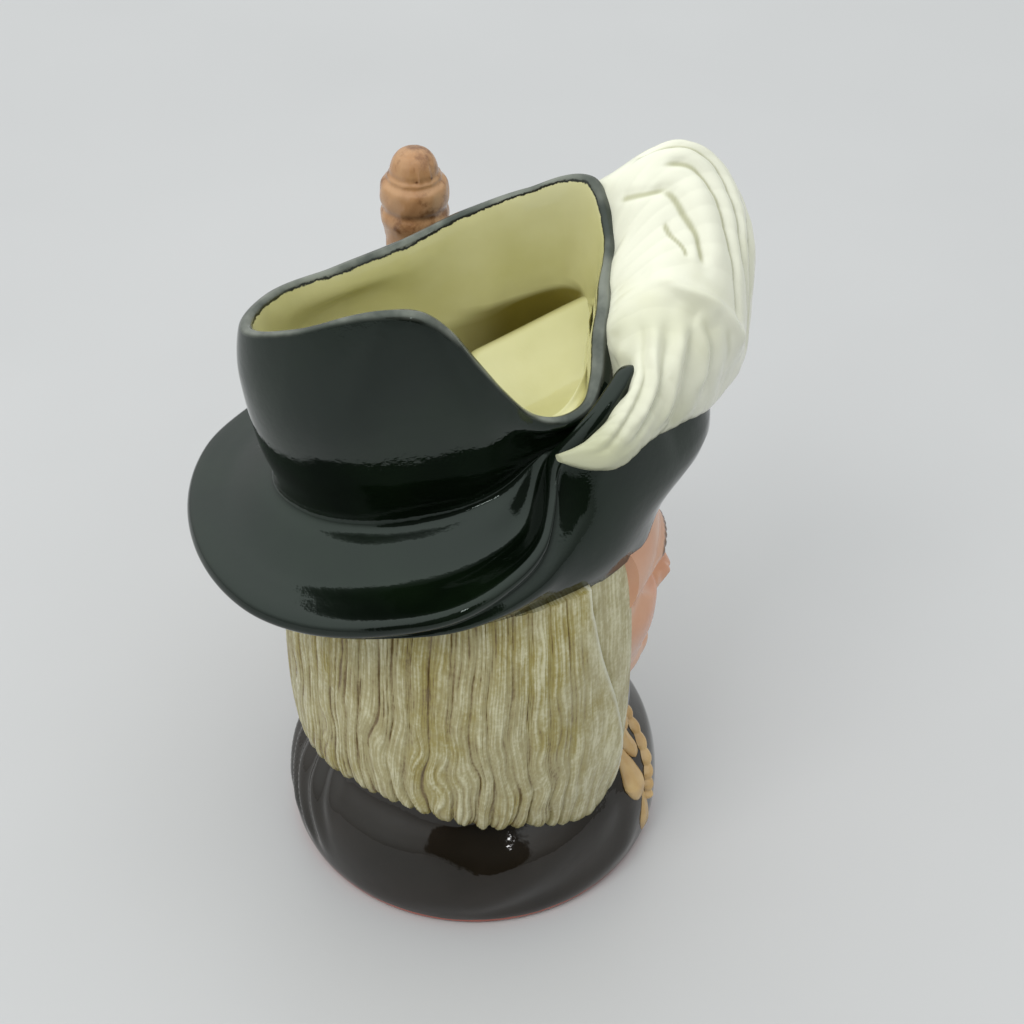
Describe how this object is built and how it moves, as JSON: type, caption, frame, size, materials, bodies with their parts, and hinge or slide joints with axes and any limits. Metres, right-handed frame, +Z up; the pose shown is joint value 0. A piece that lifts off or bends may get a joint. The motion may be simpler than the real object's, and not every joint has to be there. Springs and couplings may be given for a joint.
{
  "type": "toby jug",
  "caption": "Hollow glazed ceramic jug shaped as the head and shoulders of a cavalier, with an open hat for a mouth and a turned post for a handle.",
  "frame": {"origin": "middle of the bounding box, on the surface the foot stands on", "axes": "+Z up; the figure faces -Y, its right side is -X and the handle is on +X"},
  "size_m": [0.1306, 0.1392, 0.1815],
  "materials": {
    "painted_glaze": "gloss"
  },
  "bodies": {
    "root": {"toby_jug": "painted_glaze"}
  },
  "joints": []
}
